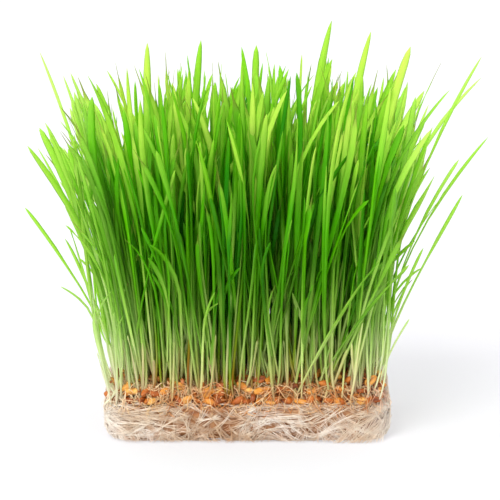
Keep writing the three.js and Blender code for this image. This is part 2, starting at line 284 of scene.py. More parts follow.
def rumple(points, waves, seed):
    """Uneven heights from about -1 to 1 over these points, with so many waves per metre along X, Y and Z."""
    scaled = points * np.array(waves) + seed
    return np.array([noise.fractal(Vector(p), 0.8, 2.1, 4) for p in scaled])


# Painted shade: the packed core is coloured dark so that the gaps between the skin's bundles look shaded.
roots_packed = root_material("roots_packed", (92, 50, 26), (164, 112, 74), (210, 168, 128), 0.1)
points, normals, faces = remeshed("root_mat", 1.6 * MM)
sunk = np.maximum((0.75 + 0.6 * rumple(points, (160, 160, 420), 3.0)) * MM, 0.2 * MM)
points = points - normals * sunk[:, None]
make_piece(
    "mat_packed_roots", points, faces, roots_packed, "roots", replaces=["root_mat"],
    tone=0.5 + 0.5 * rumple(points, (300, 300, 700), 9.0), across=points[:, 2] * 400, along=points[:, 0],
)

# ---- The root bundles --------------------------------------------------------------------------
# The mat's skin is bundles of pale roots that ran along the tray's walls, over and under each other:
# a deep layer, coloured darker as painted shade, a brighter one over it, and short, tangled ones round the
# foot.

MAT_CORNER = 14 * MM  # rounding seen from above
MAT_FOOT = 6 * MM  # rounding of the lower edge
MAT_LIP = 2.4 * MM  # rounding of the upper edge
STRAND_SIDES = 3

# The mat stands in the middle of the frame, on the table.
mat_low, mat_high = (np.array(corner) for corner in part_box("root_mat"))
mat_half = (mat_high - mat_low) / 2
mat_top = mat_high[2]

# Up the mat's wall its skin is the arc of its foot, a straight wall and the arc of its lip.
foot_arc = MAT_FOOT * math.pi / 2
lip_arc = MAT_LIP * math.pi / 2
wall_height = mat_top - MAT_FOOT - MAT_LIP
lip_start = foot_arc + wall_height
skin_top = lip_start + lip_arc

rng = np.random.default_rng(1865)


def rising(value, begins, full):
    """From 0 where a value is below the first limit to 1 where it is past the second."""
    return np.clip((value - begins) / (full - begins), 0, 1)


def towards_left(x):
    """From 0 to 1 over the mat's left end, where most light falls and its roots are painted palest."""
    return rising(-x, 37.4 * MM, 59.4 * MM)


def unit(vectors):
    return vectors / np.maximum(np.linalg.norm(vectors, axis=-1, keepdims=True), 1e-12)


def frames_along(spines, wanted):
    """Directions across and out of each line, square to it, with across as near as can be to wanted."""
    along = unit(np.gradient(spines, axis=1))
    across = unit(wanted - (wanted * along).sum(-1, keepdims=True) * along)
    return across, np.cross(along, across)


def loft(spines, across, outward, sections):
    """Closed skins along many lines at once. spines, across and outward are (lines, stations, 3), and
    sections (lines, stations, corners, 2) gives each corner's place across and outward."""
    lines, stations, corners = sections.shape[:3]
    aside = across[:, :, None] * sections[..., :1]
    points = spines[:, :, None] + aside + outward[:, :, None] * sections[..., 1:]
    ring = np.arange(corners)
    following = np.roll(ring, -1)
    first = np.arange(lines)[:, None] * stations * corners
    low = (first[:, :, None] + np.arange(stations - 1)[None, :, None] * corners).reshape(-1, 1)
    sides = np.stack([low + ring, low + following, low + corners + following, low + corners + ring], -1)
    caps = [first + ring[::-1], first + (stations - 1) * corners + ring]
    return points.reshape(-1, 3), [sides.reshape(-1, 4), *caps]


def per_point(numbers, sections):
    """A number for each line, each of its stations or each corner there, repeated for every point."""
    numbers = np.asarray(numbers, float)
    while numbers.ndim < 3:
        numbers = numbers[..., None]
    return np.broadcast_to(numbers, sections.shape[:3]).ravel()


def outline_table(steps=24):
    """Once round the mat, seen from above: distance gone, point, and the direction out of it."""
    quarters = ((1, -1, -90), (1, 1, 0), (-1, 1, 90), (-1, -1, 180))
    outs, points = [], []
    for side_x, side_y, start in quarters:
        angles = np.radians(start + np.linspace(0, 90, steps))
        out = np.stack([np.cos(angles), np.sin(angles)], -1)
        centre = np.array([side_x, side_y]) * (mat_half[:2] - MAT_CORNER)
        outs.append(out)
        points.append(centre + out * MAT_CORNER)
    outs = np.concatenate([*outs, outs[0][:1]])
    points = np.concatenate([*points, points[0][:1]])
    gone = np.concatenate(([0], np.cumsum(np.linalg.norm(np.diff(points, axis=0), axis=1))))
    return gone, points, outs


outline_gone, outline_points, outline_outs = outline_table()
round_mat = outline_gone[-1]


def on_outline(run):
    """Points on the mat's outline and the directions out of it, at these distances round it."""
    run = np.mod(run, round_mat)
    point = np.stack([np.interp(run, outline_gone, outline_points[:, k]) for k in (0, 1)], -1)
    out = np.stack([np.interp(run, outline_gone, outline_outs[:, k]) for k in (0, 1)], -1)
    return point, unit(out)


def on_mat_skin(run, climb, lift):
    """Points on the mat's skin and its outward directions. run goes round the mat, climb goes from
    under it up its wall and onto its top, and lift stands out from the skin."""
    point, out = on_outline(run)
    foot = np.clip(climb / MAT_FOOT, 0, math.pi / 2)
    lip = np.clip((climb - lip_start) / MAT_LIP, 0, math.pi / 2)
    flat = np.maximum(-climb, 0) + np.maximum(climb - skin_top, 0)
    inset = MAT_FOOT * (1 - np.sin(foot)) + MAT_LIP * (1 - np.cos(lip)) + flat
    level = MAT_FOOT * (1 - np.cos(foot)) + np.clip(climb - foot_arc, 0, wall_height) + MAT_LIP * np.sin(lip)
    sideways = np.sin(foot) * np.cos(lip)
    normal = np.concatenate([out * sideways[..., None], (np.sin(lip) - np.cos(foot))[..., None]], -1)
    place = np.concatenate([point - out * inset[..., None], level[..., None]], -1) + normal * lift[..., None]
    place[..., 2] = np.maximum(place[..., 2], 0.15 * MM)
    return place, normal


# Waves of 25 to 150 mm, each with its turns per metre in both directions, its start and its size,
# that add up to a smooth field of turns which neighbouring roots follow together.
SWIRLS = [
    (rng.uniform(40, 170), rng.uniform(-160, 160), rng.uniform(0, 2 * math.pi), rng.uniform(0.05, 0.16))
    for _ in range(9)
]


def swirl(first, second):
    """How far the roots at these places are turned from level."""
    return sum(size * np.sin(first * a + second * b + phase) for a, b, phase, size in SWIRLS)


def strand_paths(bundles, strands, stations, lengths, start_first, start_second, tilt, spread, fray):
    """Where bundles of roots run over a surface: (bundles * strands, stations) places in its two
    directions. Each bundle is tilted from the swirls by an amount of its own. Its strands lie a
    spread apart, and fray moves them further apart towards both ends."""
    length = rng.uniform(*lengths, bundles)
    sense = rng.choice([-1, 1], bundles)
    heading_shift = rng.normal(0, tilt, bundles)
    step = length / (stations - 1)
    first, second, headings = [start_first], [start_second], []
    for _ in range(stations):
        heading = swirl(first[-1], second[-1]) + heading_shift
        headings.append(heading)
        first.append(first[-1] + step * sense * np.cos(heading))
        second.append(second[-1] + step * sense * np.sin(heading))
    paths = (np.stack(column[:stations], -1)[:, None] for column in (first, second, headings))
    first, second, headings = paths
    share = np.linspace(0, 1, stations)
    ends = (2 * share - 1) ** 2
    aside = rng.normal(0, spread, (bundles, strands, 1)) * (0.5 + fray * ends)
    aside = aside + rng.normal(0, spread * 0.5, (bundles, strands, 1)) * np.sin(
        share * rng.uniform(4, 9, (bundles, strands, 1)) + rng.uniform(0, 6, (bundles, strands, 1))
    )
    first = first - aside * np.sin(headings)
    second = second + aside * np.cos(headings)
    return first.reshape(-1, stations), second.reshape(-1, stations)


def make_strands(name, spines, normals, radii, material, slot, tones):
    """A piece of many thin roots that lie on a surface with these normals, tapered at both ends."""
    ahead = unit(np.gradient(spines, axis=1))
    across, outward = frames_along(spines, np.cross(normals, ahead))
    taper = np.linspace(-1, 1, spines.shape[1]) ** 6
    angles = np.arange(STRAND_SIDES) * 2 * math.pi / STRAND_SIDES
    ring = np.stack([np.cos(angles), np.sin(angles)], -1)
    sections = (radii[:, None] * (1 - 0.75 * taper))[..., None, None] * ring
    points, faces = loft(spines, across, outward, sections)
    # None of them dips into the table.
    points[:, 2] = np.maximum(points[:, 2], 0.02 * MM)
    gone = np.cumsum(np.linalg.norm(np.diff(spines, axis=1, prepend=spines[:, :1]), axis=2), axis=1)
    along = gone + np.arange(len(spines))[:, None]
    values = {"tone": tones, "along": along, "across": ring[None, None, :, 0]}
    values = {key: per_point(value, sections) for key, value in values.items()}
    make_piece(name, points, faces, material, slot, smooth=False, **values)


def skin_bundles(name, bundles, strands, stations, climbs, lengths, radii, tilt, lifts, light, spread, fray):
    """Bundles of roots round the mat's wall. Pairs give the range that each is drawn from: where they
    start up the wall, how long and thick they are, and how far they stand out."""
    start_run = rng.uniform(0, round_mat, bundles)
    start_climb = rng.uniform(*climbs, bundles)
    run, climb = strand_paths(bundles, strands, stations, lengths, start_run, start_climb, tilt, spread, fray)
    # They may run a little way under the mat, but not onto its top, where the grains lie.
    climb = np.clip(climb, -7 * MM, skin_top + 0.4 * MM)
    share = np.linspace(0, 1, stations)
    count = len(run)
    weave = np.sin(share * rng.uniform(4, 11, (count, 1)) + rng.uniform(0, 6, (count, 1)))
    lift = rng.uniform(*lifts, (count, 1)) + 0.2 * MM * weave
    # One root in eight comes away from the skin over its last stretch.
    loose = (rng.random((count, 1)) < 0.12) * rng.uniform(0.5, 2.0, (count, 1)) * MM
    lift = np.maximum(lift + loose * np.maximum(share - 0.6, 0) * 2.5, 0)
    spines, normals = on_mat_skin(run, climb, lift)
    start_x = spines[:, 0, 0]
    bundle_tone = np.repeat(rng.normal(light, 0.24, bundles), strands)
    # Painted light: bundles at both ends, the left most, get paler tones for the light that falls there.
    painted_end_light = 0.45 * towards_left(start_x) + 0.25 * rising(start_x, 51.6 * MM, 63.6 * MM)
    tones = np.clip(bundle_tone + rng.normal(0, 0.16, count) + painted_end_light, 0, 1.15)
    make_strands(name, spines, normals, rng.uniform(*radii, count), roots_pale, "roots", tones)


roots_pale = root_material("roots_pale", (138, 84, 48), (222, 188, 158), (253, 244, 232), 0.2)
# Painted shade: the deep layer gets darker tones than the outer one, for the shade beneath it.
skin_bundles(
    "mat_roots_deep", bundles=420, strands=6, stations=7, climbs=(-3 * MM, skin_top),
    lengths=(12 * MM, 30 * MM), radii=(0.12 * MM, 0.22 * MM), tilt=0.55, lifts=(-0.1 * MM, 0.3 * MM),
    light=0.38, spread=0.7 * MM, fray=1.2,
)
skin_bundles(
    "mat_roots_outer", bundles=260, strands=7, stations=8, climbs=(2 * MM, skin_top),
    lengths=(12 * MM, 38 * MM), radii=(0.08 * MM, 0.16 * MM), tilt=0.6, lifts=(0.2 * MM, 0.8 * MM),
    light=0.86, spread=0.7 * MM, fray=1.8,
)
skin_bundles(
    "mat_roots_foot", bundles=90, strands=8, stations=6, climbs=(5 * MM, 11 * MM),
    lengths=(7 * MM, 15 * MM), radii=(0.09 * MM, 0.16 * MM), tilt=0.9, lifts=(0.1 * MM, 0.7 * MM),
    light=0.7, spread=0.5 * MM, fray=2.6,
)

# ---- The frayed ends ---------------------------------------------------------------------------
# At the foot the roots fray into brushes of short ends, which leave the wall, fan out and bend down
# to the table. At the mat's two ends they are drawn in a little under it.

BRUSHES = 150
BRISTLES = 8  # in each brush


def beside_mat(run, standoff, level):
    """Places at these distances round the mat, out from its wall and above the table, and the level
    directions out of the mat there."""
    rim, rim_out = on_outline(run)
    places = np.concatenate([rim + rim_out * standoff[..., None], level[..., None]], -1)
    return places, np.concatenate([rim_out, np.zeros((*level.shape, 1))], -1)


count = BRUSHES * BRISTLES
share = np.linspace(0, 1, 6)
brush_run = np.repeat(rng.uniform(0, round_mat, BRUSHES), BRISTLES)
brush_lean = np.repeat(rng.normal(0, 5, BRUSHES), BRISTLES)
brush_width = np.repeat(rng.uniform(1.5, 5, BRUSHES), BRISTLES)
fan = np.tile(np.linspace(-1, 1, BRISTLES), BRUSHES) * brush_width
start_level = np.repeat(rng.uniform(5, 10, BRUSHES), BRISTLES) + rng.normal(0, 1.0, count)
level = (start_level[:, None] * (1 - share) ** 1.15 + rng.uniform(0.12, 1.1, (count, 1)) * share) * MM
sideways = (brush_lean + fan + rng.normal(0, 0.7, count))[:, None] * share**1.3
run = brush_run[:, None] + (rng.normal(0, 0.8, (count, 1)) + sideways) * MM
drawn_in = 3.2 * rising(np.abs(on_outline(run)[0][..., 0]), 56 * MM, 66 * MM)
at_foot = rng.uniform(-2.4, 2.2, (count, 1)) - drawn_in
standoff = (rng.uniform(-0.3, 0.4, (count, 1)) + at_foot * share**2) * MM
spines, outward = beside_mat(run, standoff, level)
make_strands(
    "mat_frayed_ends", spines, outward, rng.uniform(0.09, 0.19, count) * MM, roots_pale, "roots",
    np.clip(rng.normal(0.62, 0.22, count), 0, 1),
)

# ---- The corner roots --------------------------------------------------------------------------
# Round the right front corner some longer roots have come loose. They hang down the mat's skin and
# lie out on the table.

count = 44
share = np.linspace(0, 1, 10)
run = (rng.uniform(-4, 19, (count, 1)) - rng.uniform(5, 16, (count, 1)) * share**0.8) * MM
run = run + rng.normal(0, 0.7, (count, 1)) * MM * np.sin(share * rng.uniform(3, 7, (count, 1)))
level = (rng.uniform(7, 17, (count, 1)) * (1 - share) ** 1.4 + rng.uniform(0.2, 0.5, (count, 1))) * MM
standoff = (rng.uniform(0.1, 0.6, (count, 1)) + rng.uniform(0.5, 3.4, (count, 1)) * share**4) * MM
spines, outward = beside_mat(run, standoff, level)
make_strands(
    "mat_corner_roots", spines, outward, rng.uniform(0.13, 0.22, count) * MM, roots_pale, "roots",
    np.clip(rng.normal(0.85, 0.15, count), 0, 1),
)

# ---- The felt up the ends ----------------------------------------------------------------------
# Where roots climbed the tray's ends they dried to a thin pale felt. It stands a little above the
# mat at each end, ragged along its top, and its roots run on down the end of the mat.

FELT_ROOTS = 330

felt = root_material("root_felt", (196, 166, 142), (238, 222, 206), (254, 248, 240), 0.5)
for side, node in ((-1, "wall_felt_left"), (1, "wall_felt_right")):
    low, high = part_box(node)
    outer_face = high[0] if side > 0 else low[0]
    middle, half_reach = (low[1] + high[1]) / 2, (high[1] - low[1]) / 2
    points, normals, faces = remeshed(node, 0.7 * MM)
    rise = rising(points[:, 2], low[2], high[2])
    lowered = 3.2 + 2.4 * rumple(points * (0, 1, 0), (1, 260, 1), 5.0 * side)
    lowered = lowered + 7 * np.abs((points[:, 1] - middle) / half_reach) ** 3
    points = points - normals * (0.25 + 0.2 * rumple(points, (300, 300, 300), 7.0))[:, None] * MM
    points[:, 2] -= rise * np.clip(lowered, 0, 10) * MM
    points[:, 0] -= side * rise * (0.3 + 0.6 * rumple(points, (1, 90, 120), 2.0)) * MM
    make_piece(
        node.replace("wall_felt", "end_felt"), points, faces, felt, "root_felt", replaces=[node],
        tone=0.75 + 0.3 * rumple(points, (300, 700, 200), 4.0), across=points[:, 1] * 900, along=points[:, 2],
    )
    share = np.linspace(0, 1, 9)
    place_y = rng.uniform(low[1] - 4 * MM, high[1] + 4 * MM, (FELT_ROOTS, 1))
    shoulder = 7 * np.clip(np.abs((place_y - middle) / half_reach), 0, 1) ** 3
    top = low[2] + (rng.uniform(3, 9, (FELT_ROOTS, 1)) - shoulder) * MM
    foot = rng.uniform(2, 14, (FELT_ROOTS, 1)) * MM
    level = top + (foot - top) * share
    lean = rng.normal(0, 3, (FELT_ROOTS, 1)) * share
    place_y = place_y + (lean + rng.normal(0, 0.7, (FELT_ROOTS, 1)) * np.sin(share * 5)) * MM
    standoff = rng.uniform(0.1, 0.75, (FELT_ROOTS, 1)) * MM
    standoff = standoff + 0.2 * MM * np.sin(share * rng.uniform(4, 9, (FELT_ROOTS, 1)))
    # Above the mat the roots lie on the felt's outer face, below on the mat's end and round its foot.
    on_felt = rising(level, mat_top - 1 * MM, mat_top + 1 * MM)
    under_foot = np.maximum(MAT_FOOT - level, 0)
    wall_x = mat_half[0] - (MAT_FOOT - np.sqrt(MAT_FOOT**2 - under_foot**2))
    place_x = wall_x + (abs(outer_face) - mat_half[0]) * on_felt + standoff
    spines = np.stack([side * place_x, place_y, level], -1)
    make_strands(
        node.replace("wall_felt", "end_felt_roots"), spines, np.full_like(spines, (side, 0, 0)),
        rng.uniform(0.1, 0.2, FELT_ROOTS) * MM, felt, "root_felt", rng.uniform(0.4, 1.0, FELT_ROOTS),
    )

# ---- The husk layer ----------------------------------------------------------------------------
# Husks, dead grains and dark root ends lie packed on the mat under the grains that sprouted, and
# show between them as a brown, lumpy floor, whose dark browns are also painted shade between the grains.

# Its colour is partly the husks' own and partly painted shade in the gaps between the grains.
husks_and_shade, tree, skin = new_material("husks_and_shade")
blotch = use_effect(tree, "mottling", {"Blotches Per Metre": 420.0, "Contrast": 2.2})
colour = ramp(tree, blotch, (0.15, 48, 18, 6), (0.5, 120, 54, 20), (0.9, 196, 112, 52))
tree.links.new(colour, skin.inputs["Base Color"])
skin.inputs["Roughness"].default_value = 0.7
roughen(tree, skin, blotch, 0.8, 1 * MM)

# It has the mat's own outline, a little smaller, and is pressed flat onto the mat's top.
points, normals, faces = remeshed("root_mat", 1.7 * MM, (0.952, 0.925, 0.16), (0, 0, mat_top - 0.6 * MM))
points = points + normals * (0.9 * rumple(points, (330, 330, 330), 11.0))[:, None] * MM
make_piece("husk_layer", points, faces, husks_and_shade, "grains")

# ---- The grains --------------------------------------------------------------------------------
# Swollen wheat grains, golden to red-brown, each with its crease and its germ end. They lie two or
# three deep on the mat, heaped a little in places, and some have worked loose along the front.

GRAIN_LENGTH = 6.7 * MM
GRAIN_WIDTH = 3.7 * MM
GRAIN_SIDES = 9
GRAINS = 770  # at least, without those that have worked loose
RIM_GRAINS = 50  # of them, in one line round the edge of the bed
GRAIN_SPACING = 5.0 * MM  # least distance from one grain's middle to the next
EDGE_SPACING = 3.1 * MM  # the same near the bed's edge, where they lie closest
LAYER_RISE = 2.9  # millimetres from one layer of grains to the next
# Where along X each heap is, how far it reaches and how high it is.
HEAPS = ((40 * MM, 24 * MM, 4.2 * MM), (5 * MM, 9 * MM, 4.0 * MM), (-50 * MM, 11 * MM, 1.8 * MM))
ROWS = ("front", "mid_front", "mid_back", "back")  # the rows of tufts that the bed is parted into

bed_reach = mat_half[:2] - 2.2 * MM  # how far from the middle the bed goes
grain_reach = mat_half[:2] - 3.4 * MM  # how far from it the grains' own middles may lie

grain_skin, tree, skin = new_material("grain_skin")
blotch = use_effect(tree, "mottling", {"Blotches Per Metre": 330.0, "Contrast": 1.5})
colour = ramp(
    tree, blotched_tone(tree, blotch, 0.4, 0.75),
    (0.12, 108, 46, 10), (0.4, 180, 94, 28), (0.7, 224, 148, 54), (1.0, 246, 198, 112),
)
# Painted shade: each grain's crease is coloured darker, towards a deep brown.
crease_painted_shade = mixed(tree, own_value(tree, "crease"), colour, shade(84, 32, 12))
tree.links.new(crease_painted_shade, skin.inputs["Base Color"])
skin.inputs["Roughness"].default_value = 0.38
skin.inputs["Specular IOR Level"].default_value = 0.45
wrinkles = use_effect(tree, "lines", {"Lines Across": 5.0, "Stretch": 3.0, "Contrast": 1.6})
roughen(tree, skin, calculate(tree, "MULTIPLY_ADD", wrinkles, 0.8, blotch), 0.7, 0.6 * MM)


def make_grains(name, centres, headings, pitches, rolls, sizes, tones, replaces=()):
    """A piece of wheat grains lying at these centres; angles are in radians and a size of 1 is usual."""
    count = len(centres)
    along = np.array([-1, -0.94, -0.8, -0.55, -0.2, 0.15, 0.5, 0.78, 0.94, 1.0])
    girth = np.maximum(1 - np.abs(along) ** 2.3, 0) ** 0.55 * (1 - 0.12 * along) + 0.02
    level = np.cos(pitches)
    ahead = np.stack([np.cos(headings) * level, np.sin(headings) * level, np.sin(pitches)], -1)
    side = np.stack([-np.sin(headings), np.cos(headings), np.zeros(count)], -1)
    up = np.cross(ahead, side)
    turn_cos, turn_sin = np.cos(rolls)[:, None], np.sin(rolls)[:, None]
    side, up = side * turn_cos + up * turn_sin, up * turn_cos - side * turn_sin
    from_middle = ahead[:, None] * (along * GRAIN_LENGTH / 2)[None, :, None]
    spines = centres[:, None] + from_middle * sizes[:, None, None]
    # The crease runs down the grain at the section's first corner, and the germ is a bump opposite.
    past_crease = np.arange(GRAIN_SIDES) * 2 * math.pi / GRAIN_SIDES
    angles = past_crease + math.pi / 2
    crease = sum(np.exp(-(((past_crease - turn) / 0.45) ** 2)) for turn in (0, 2 * math.pi))
    crease = crease[None] * np.clip(1.15 - np.abs(along) ** 3, 0, 1)[:, None]
    germ = 0.1 * np.exp(-(((along + 0.72) / 0.2) ** 2))
    reach = girth[:, None] * (1 - 0.32 * crease) + germ[:, None] * np.clip(-np.sin(angles), 0, 1)[None]
    shape = np.stack([reach * np.cos(angles), reach * np.sin(angles) * 0.92], -1) * GRAIN_WIDTH / 2
    sections = shape[None] * sizes[:, None, None, None] * rng.uniform(0.86, 1.12, (count, 1, 1, 2))
    for folds, twist, depth in ((2, 2.5, 0.06), (3, -4.0, 0.06), (4, 7.0, 0.05)):
        phase = rng.uniform(0, 2 * math.pi, (count, 1, 1))
        lump = 1 + depth * np.sin(folds * angles[None, None] + twist * along[None, :, None] + phase)
        sections = sections * lump[..., None]
    across = np.broadcast_to(side[:, None], spines.shape)
    outward = np.broadcast_to(up[:, None], spines.shape)
    points, faces = loft(spines, across, outward, sections)
    values = {"tone": tones, "along": along[None], "across": np.cos(angles)[None, None]}
    values["crease"] = 0.75 * crease[None]
    values = {key: per_point(value, sections) for key, value in values.items()}
    make_piece(name, points, faces, grain_skin, "grains", replaces, **values)


def edge_distance(x, y):
    """How far inside the bed's nearest edge a place is."""
    return np.minimum(bed_reach[0] - np.abs(x), bed_reach[1] - np.abs(y))


def heaped(x, y):
    """How much higher the top grains lie here than on the flat bed. Besides the heaps, some are pushed
    up against the felt at the right end."""
    heaps = sum(np.exp(-(((x - middle) / reach) ** 2)) * height for middle, reach, height in HEAPS)
    heaps = heaps * np.clip(edge_distance(x, y) / (7 * MM), 0.15, 1)
    against_felt = np.exp(-(((x - 62 * MM) / (6 * MM)) ** 2)) * 4.5 * MM
    return heaps + against_felt * np.clip((grain_reach[1] - np.abs(y)) / (5 * MM), 0.3, 1)


rim_run = np.linspace(0, round_mat, RIM_GRAINS) + rng.normal(0, 2.5, RIM_GRAINS) * MM
rim_inset = rng.uniform(2.2, 4.2, RIM_GRAINS) * MM
rim_level = mat_top + rng.uniform(1.4, 2.6, RIM_GRAINS) * MM
grain_places = beside_mat(rim_run, -rim_inset, rim_level)[0]
while len(grain_places) < GRAINS:
    tries = rng.uniform(-1, 1, (400, 2)) * grain_reach
    layer = rng.choice(3, 400, p=[0.4, 0.32, 0.28])  # the share of each layer, from the lowest
    levels = mat_top + (2.2 + LAYER_RISE * layer + rng.uniform(0, 1.6, 400)) * MM
    levels = levels + heaped(tries[:, 0], tries[:, 1]) * layer / 2
    for place, level in zip(tries, levels):
        corner = np.maximum(np.abs(place) - (grain_reach - 12 * MM), 0)
        needed = EDGE_SPACING if edge_distance(*place) < 15 * MM else GRAIN_SPACING
        spot = np.array([*place, level])
        if np.hypot(*corner) < 12 * MM and np.linalg.norm(grain_places - spot, axis=1).min() > needed:
            grain_places = np.vstack([grain_places, spot])
grain_count = len(grain_places)
grain_headings = rng.uniform(0, 2 * math.pi, grain_count)
golden = rng.random(grain_count) < 0.34
grain_tones = np.where(golden, rng.normal(0.74, 0.14, grain_count), rng.normal(0.26, 0.15, grain_count))
# Painted shade: the lowest grains, round the rim, lie in shade under the rest and are coloured darker.
grain_tones[:RIM_GRAINS] *= 0.5

row_edges = np.linspace(-1, 1, len(ROWS) + 1) * bed_reach[1]
for row, row_low, row_high in zip(ROWS, row_edges, row_edges[1:]):
    inside = (grain_places[:, 1] >= row_low) & (grain_places[:, 1] < row_high)
    count = inside.sum()
    make_grains(
        "grains_" + row, grain_places[inside], grain_headings[inside], rng.normal(0, 0.42, count),
        rng.uniform(0, 2 * math.pi, count), rng.uniform(0.85, 1.12, count), grain_tones[inside],
    )
for node in sorted(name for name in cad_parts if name.startswith("loose_grain")):
    low, high = (np.array(corner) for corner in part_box(node))
    heading = rng.uniform(-0.5, 0.5, 1)
    make_grains(
        node.replace("loose_grain", "rim_grain"), ((low + high) / 2)[None], heading, rng.normal(0, 0.15, 1),
        rng.uniform(0, 2 * math.pi, 1), np.array([1.05]), rng.uniform(0.6, 0.95, 1), [node],
    )

# ---- The husk flakes ---------------------------------------------------------------------------
# Husks that the grains have shed: thin papery shells, tan to pinkish, curled along their length and
# torn at the ends. They lie about between the grains and catch the light.

FLAKES = 300

flake_skin, tree, skin = new_material("husk_flakes")
blotch = use_effect(tree, "mottling", {"Blotches Per Metre": 500.0, "Contrast": 1.8})
tone = blotched_tone(tree, blotch, 0.4, 0.6)
colour = ramp(tree, tone, (0.1, 104, 46, 18), (0.5, 196, 116, 62), (0.9, 244, 198, 152))
tree.links.new(colour, skin.inputs["Base Color"])
skin.inputs["Roughness"].default_value = 0.55
ribs = use_effect(tree, "lines", {"Lines Across": 6.0, "Stretch": 3.0})
roughen(tree, skin, calculate(tree, "ADD", ribs, blotch), 0.6, 0.4 * MM)

share = np.linspace(-1, 1, 6)
owners = rng.choice(grain_count, FLAKES)
offset = rng.normal(0, 2.2, (FLAKES, 3)) * (1, 1, 0.4) + (0, 0, 1.0)
centres = np.clip(grain_places[owners] + offset * MM, (*-grain_reach, 0), (*grain_reach, 1))
heading, pitch = rng.uniform(0, 2 * math.pi, FLAKES), rng.normal(0, 0.5, FLAKES)
ahead = np.stack([np.cos(heading) * np.cos(pitch), np.sin(heading) * np.cos(pitch), np.sin(pitch)], -1)
flake_length = rng.uniform(2.4, 5.5, (FLAKES, 1, 1)) * MM
spines = centres[:, None] + ahead[:, None] * share[None, :, None] * flake_length / 2
spines = spines + rng.normal(0, 0.15, spines.shape) * MM
across, outward = frames_along(spines, np.broadcast_to(rng.normal(0, 1, (FLAKES, 1, 3)), spines.shape))
# Each flake's section is a thin crescent: out along its back, and home along its hollow side.
arc = np.linspace(-1.15, 1.15, 4)
back = np.stack([np.sin(arc), np.cos(arc)], -1)
crescent = np.concatenate([back, back[::-1] * 0.9])
width = rng.uniform(0.8, 1.7, (FLAKES, 1)) * MM * np.sqrt(np.maximum(1.05 - share**2, 0.04))
width = width * rng.uniform(0.75, 1.15, width.shape)
sections = (crescent - (0, 0.6)) * width[..., None, None]
points, faces = loft(spines, across, outward, sections)
make_piece(
    "husk_flakes", points, faces, flake_skin, "grains", smooth=False,
    tone=per_point(rng.uniform(0, 1, FLAKES), sections), along=per_point(share[None], sections),
    across=per_point(crescent[None, None, :, 0], sections),
)

# ---- The rootlets ------------------------------------------------------------------------------
# Each grain throws out a few pinkish roots. Those at the rim arch out over the mat's upper edge,
# tangle with their neighbours and run down into its skin; the rest lie about on the grains.

EDGE_ROOTLETS = 800
SCATTERED_ROOTLETS = 700  # on the grains all over the bed
FRONT_ROOTLETS = 450  # more on those along the front, which would be the barest

rootlets_tan = root_material("rootlets_tan", (144, 62, 14), (228, 152, 80), (255, 232, 188), 0.25, 0.65)


def arched(knots, stations=14):
    """Smooth lines through space from four guiding points each: (lines, 4, 3) gives (lines, stations, 3)."""
    t = np.linspace(0, 1, stations)[None, :, None]
    first, second, third, last = (knots[:, k, None] for k in range(4))
    return (1 - t) ** 3 * first + 3 * (1 - t) ** 2 * t * second + 3 * (1 - t) * t**2 * third + t**3 * last


def curled(spines, size=1.3 * MM):
    """Lets thin roots wind a little, in waves of their own."""
    count = len(spines)
    share = np.linspace(0, 1, spines.shape[1])
    waves = [
        np.sin(share * rng.uniform(4, 15, (count, 1)) + rng.uniform(0, 6, (count, 1))) for _ in range(3)
    ]
    return spines + np.stack(waves, -1) * np.sin(share * math.pi)[None, :, None] * size


def rootlet_tones(places, lowest):
    """Tones for roots that start at these places; those at the left end are painted paler, for the light
    there.
    """
    return rng.uniform(lowest, 1.0, len(places)) + 0.5 * towards_left(places[:, 0])


count = EDGE_ROOTLETS
start_run = rng.uniform(0, round_mat, count)
start_inset = rng.uniform(2.5, 9, count) * MM
start, out = beside_mat(start_run, -start_inset, mat_top + rng.uniform(2, 11, count) * MM)
end_run = start_run + rng.normal(0, 6, count) * MM
end_climb = rng.uniform(lip_start - 3 * MM, skin_top + 1 * MM, count)
end, end_normal = on_mat_skin(end_run, end_climb, rng.uniform(0, 0.5, count) * MM)
tangent = np.cross(out, (0, 0, 1.0))
bulge = start + out * rng.uniform(0, 3.5, (count, 1)) * MM + tangent * rng.normal(0, 5, (count, 1)) * MM
bulge = bulge + (0, 0, 1) * rng.normal(0.5, 2.0, (count, 1)) * MM
landing = end + end_normal * rng.uniform(0.2, 1.8, (count, 1)) * MM
landing = landing + tangent * rng.normal(0, 4, (count, 1)) * MM
spines = curled(arched(np.stack([start, bulge, landing, end], 1)))
make_strands(
    "rootlets_over_edge", spines, np.broadcast_to(end_normal[:, None], spines.shape),
    rng.uniform(0.12, 0.25, count) * MM, rootlets_tan, "roots", rootlet_tones(start, 0.25),
)

# The way round the mat starts at its right front corner, so the front is the last stretch of it.
count = SCATTERED_ROOTLETS + FRONT_ROOTLETS
front_begins = round_mat - 2 * mat_half[0] + MAT_CORNER
run = rng.uniform(0, round_mat, count)
run[SCATTERED_ROOTLETS:] = rng.uniform(front_begins, round_mat, FRONT_ROOTLETS)
knots = []
for k in range(4):
    raised = rng.uniform(0, 4.5, count) if k in (1, 2) else 0.0
    inset = rng.uniform(1, 14, count) * MM
    knots.append(beside_mat(run, -inset, mat_top + (rng.uniform(2.5, 9.5, count) + raised) * MM)[0])
    run = run + rng.normal(0, 5, count) * MM
spines = curled(arched(np.stack(knots, 1)))
make_strands(
    "rootlets_on_grains", spines, np.full_like(spines, (0, 0, 1)), rng.uniform(0.11, 0.24, count) * MM,
    rootlets_tan, "roots", rootlet_tones(spines[:, 0], 0.4),
)

# ---- The shoots --------------------------------------------------------------------------------
# Wheat seedlings, one or two leaves each. A shoot leaves its grain as a round, pale stem, bends up to
# the light within a few millimetres and opens above into a narrow leaf, folded along its middle
# and pointed. They stand so close that the rim is pushed outwards and the middle stays upright.

